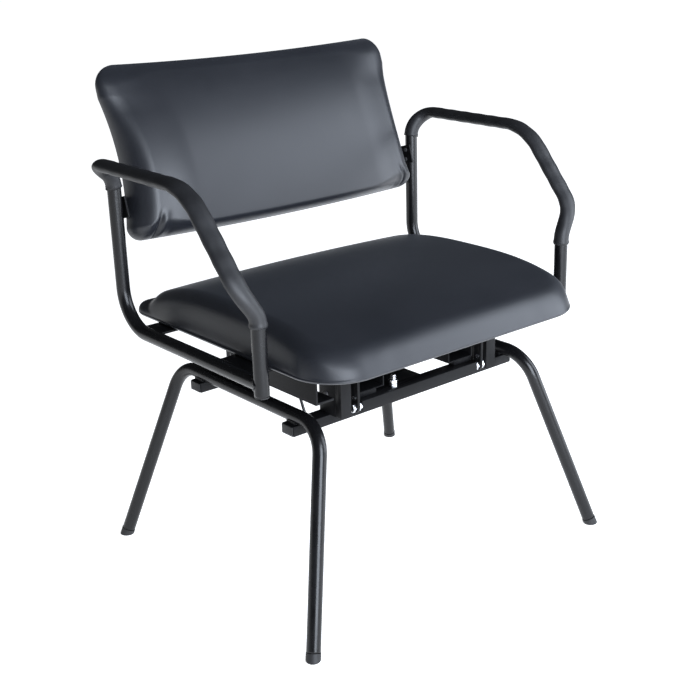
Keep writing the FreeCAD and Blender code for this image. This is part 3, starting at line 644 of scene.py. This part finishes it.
def rounded(share):
    """A quarter circle's rise, from 0 at the rim to 1."""
    share = min(1.0, max(0.0, share))
    return math.sqrt(1 - (1 - share) ** 2)


def seat_height(u, v):
    """The dome measured from the board's middle, thin at its front edge and thicker at its rear corners."""
    half_v = (SEAT_REAR - SEAT_FRONT) / 2
    share_v = abs((v / half_v + 0.05) / 1.05)
    share_u = u / SEAT_HALF
    z = SEAT_CROWN - SEAT_DROP * share_v ** 2.87 - SEAT_SIDE_DROP * share_u ** 2
    inside = corner_distance(u, v, SEAT_HALF, half_v, (SEAT_EDGE_CORNER, SEAT_EDGE_CORNER))
    rim = min(1.0, max(0.0, 1 - inside / SEAT_EDGE))
    z -= SEAT_EDGE * (1 - math.sqrt(max(0.0, 1 - rim * rim)))
    lip = SEAT_FRONT_LIP + (SEAT_REAR_LIP - SEAT_FRONT_LIP) * smooth_step((v + 0.05) / 0.22)
    z = soft_floor(z, SEAT_LOW + HEM + lip, 0.016) + seat_tension(u, v, rim)
    own = corner_distance(u, v, SEAT_HALF, half_v, SEAT_CORNERS)
    return SEAT_LOW + HEM + (z - SEAT_LOW - HEM) * rounded(own / SEAT_ROLL)


def seat_tension(u, v, rim):
    """Faint drag lines that run in from the corners, where the cover is gathered."""
    angle = math.atan2(v, u)
    gathers = math.sin(34 * angle) * math.sin(9 * angle + 1.3)
    corner = abs(math.sin(2 * angle)) ** 6
    return 0.0011 * gathers * corner * smooth_step((rim - 0.15) / 0.85)


def seat_pad():
    """The seat's upholstery: crowned from front to rear, tucked under all round."""
    half_v = (SEAT_REAR - SEAT_FRONT) / 2
    pad = pad_mesh("seat_upholstery", SEAT_HALF, half_v, SEAT_CORNERS, seat_height,
                   lambda u, v: (u, v), SEAT_LOW, 150, 140)
    pad.data.transform(Matrix.Translation((0, (SEAT_FRONT + SEAT_REAR) / 2, 0)))
    outward(pad)
    pad.data.shade_smooth()
    finish_piece(pad, "carriage", "upholstery", "seat_cushion")
    return pad


def back_matrix():
    """From the pad's own axes (u right, v up its slope, w towards the front) to the chair's."""
    lean = Matrix.Rotation(-BACK_LEAN, 4, "X")
    hinge = Matrix.Translation((0, BACK_FRONT_Y, BACK_LOW))
    stand = Matrix(((1, 0, 0, 0), (0, 0, -1, BACK_THICK), (0, 1, 0, BACK_HIGH / 2), (0, 0, 0, 1)))
    return hinge @ lean @ stand


def back_drawn(u, v):
    """Pulls the outline in along each side, so that the four corners stand out."""
    up = v + BACK_HIGH / 2
    across = (u / BACK_HALF) ** 2
    wide = 0.284 + 0.0115 * ((up - 0.125) / 0.100) ** 2
    wide = min(wide, 0.2965)
    if u > 0:
        wide += BACK_TIP * math.exp(-((up - 0.010) / 0.020) ** 2)
    top = -0.003 + 0.007 * across
    bottom = -0.0035 + 0.006 * across
    share = smooth_step(up / BACK_HIGH)
    return u * wide / BACK_HALF, v + top * share + bottom * (1 - share)


def pleat(u, up):
    """Folds in the cover at each lower corner: a sharp crease with a ridge beside it."""
    fade = 1 - smooth_step((up - 0.012) / 0.034)
    line = abs(u) - (0.258 - 0.12 * up)
    crease = -0.0065 * math.exp(-(line / 0.0030) ** 2)
    ridge = 0.0035 * math.exp(-((line + 0.0090) / 0.0048) ** 2)
    second = -0.0022 * math.exp(-((line + 0.022) / 0.0035) ** 2) * (1 - smooth_step(up / 0.026))
    return (crease + ridge) * fade + second


def back_height(u, v):
    """The front of the back: full low down, thin at the top, rolled over all round."""
    up = v + BACK_HIGH / 2
    inside = corner_distance(u, v, BACK_HALF, BACK_HIGH / 2, BACK_CORNERS)
    front = BACK_THICK + BACK_FULL - BACK_CURVE * (up - BACK_FULL_UP) ** 2
    roll = BACK_SIDE_ROLL * (1 - smooth_step((BACK_HALF - abs(u)) / BACK_SIDE_REACH))
    front -= roll * smooth_step((front - BACK_OVER_BOARD) / 0.030)
    edge = BACK_EDGE + (BACK_SIDE_EDGE - BACK_EDGE) * smooth_step((abs(u) - 0.170) / 0.100)
    return BACK_LIP + (front - BACK_LIP) * rounded(inside / edge) + pleat(u, up)


def back_pad():
    """The back's upholstery, fullest at the sitter's loins, with pleats at its lower corners."""
    pad = pad_mesh("back_upholstery", BACK_HALF, BACK_HIGH / 2, BACK_CORNERS, back_height,
                   back_drawn, 0.0, 220, 130)
    pad.data.transform(back_matrix())
    outward(pad)
    pad.data.shade_smooth()
    finish_piece(pad, "carriage", "upholstery", "back_cushion")
    return pad


# ---------------------------------------------------------------- camera, light and floor
def add_camera():
    azimuth, pitch, roll = math.radians(39.56), math.radians(19.55), math.radians(-1.67)
    ahead = Vector((math.sin(azimuth) * math.cos(pitch), math.cos(azimuth) * math.cos(pitch), -math.sin(pitch)))
    right = Vector((math.cos(azimuth), -math.sin(azimuth), 0))
    up = right.cross(ahead)
    x_axis = math.cos(roll) * right + math.sin(roll) * up
    y_axis = -math.sin(roll) * right + math.cos(roll) * up
    data = bpy.data.cameras.new("camera")
    data.sensor_width = 36.0
    data.lens = 61.9
    camera = bpy.data.objects.new("camera", data)
    bpy.context.scene.collection.objects.link(camera)
    turn = Matrix((x_axis, y_axis, -ahead)).transposed().to_4x4()
    camera.matrix_world = Matrix.Translation((-1.22533, -1.47473, 1.01762)) @ turn
    bpy.context.scene.camera = camera


def softbox(name, place, target, size, power):
    data = bpy.data.lights.new(name, "AREA")
    data.shape = "RECTANGLE"
    data.size, data.size_y = size
    data.energy = power
    data.color = (0.82, 0.89, 1.0)
    light = bpy.data.objects.new(name, data)
    bpy.context.scene.collection.objects.link(light)
    aim = Vector(target) - Vector(place)
    light.matrix_world = Matrix.Translation(place) @ aim.to_track_quat("-Z", "Y").to_matrix().to_4x4()
    return light


def add_world():
    """White to the camera, and a soft grey surround to everything else."""
    world = bpy.data.worlds.new("studio")
    bpy.context.scene.world = world
    world.use_nodes = True
    tree = world.node_tree
    tree.nodes.clear()
    path = tree.nodes.new("ShaderNodeLightPath")
    seen = add_node(tree, "ShaderNodeBackground", Color=(1, 1, 1, 1), Strength=1.0)
    felt = add_node(tree, "ShaderNodeBackground", Color=(0.92, 0.96, 1.0, 1), Strength=0.06)
    mix = tree.nodes.new("ShaderNodeMixShader")
    out = tree.nodes.new("ShaderNodeOutputWorld")
    tree.links.new(path.outputs["Is Camera Ray"], mix.inputs["Fac"])
    tree.links.new(felt.outputs[0], mix.inputs[1])
    tree.links.new(seen.outputs[0], mix.inputs[2])
    tree.links.new(mix.outputs[0], out.inputs["Surface"])


def add_stage():
    size = 30.0
    floor = mesh_object("floor", [(-size, -size, 0), (size, -size, 0), (size, size, 0), (-size, size, 0)],
                        [(0, 1, 2, 3)], smooth=False)
    floor.data.materials.append(floor_material())
    add_world()
    softbox("wall_right", (2.7, -1.9, 1.5), (0, 0, 0.5), (2.2, 3.0), 128)
    softbox("wide_front", (-0.55, -3.15, 1.2), (0, 0, 0.5), (2.0, 2.4), 215)
    softbox("overhead", (0.0, 0.2, 3.0), (0, 0, 0), (3.0, 3.0), 2)
    bpy.context.scene.view_settings.view_transform = "Standard"


# ---------------------------------------------------------------- build
EDGE_WIDTHS = {
    "cross_bar": 0.0012, "hanger_post": 0.0012, "hanger_box": 0.0012, "link_front": 0.0006, "link_back": 0.0006,
    "carriage": 0.0012, "beam": 0.0006, "seat_straps": 0.0006, "side_angle": 0.0008, "stop_plate": 0.0005,
    "side_tabs": 0.0006, "back_bracket": 0.0005, "back_cover": 0.0007, "rail_saddles": 0.0004,
    "upper_pivot_bolts": 0.0005, "lower_pivot_bolts": 0.0005, "lower_pivot_nuts": 0.0005, "stop_nuts": 0.0005,
    "upper_nuts_and_spacers": 0.0004, "post_plugs": 0.0006,
}                              # width of the rounded edge, by the start of a node's name


def dress_model_nodes():
    """Gives every model node its slot's material, and rounds the edges of flat stock, boxes and bolts."""
    for name, node in NODES.items():
        node.data.materials.clear()
        node.data.materials.append(MATERIALS[SLOT_OF[name]])
        node.data.shade_smooth()
    for name in list(NODES):
        for start, width in EDGE_WIDTHS.items():
            if name.startswith(start):
                bevelled_copy(name, width)
                break


dress_model_nodes()
for side_name, side_sign in SIDES:
    side_frame(side_name, side_sign)
    leg_frame(side_name, side_sign)
    arm_sleeve(side_name, side_sign)
stop_bolt()
seat_pad()
back_pad()
add_camera()
add_stage()
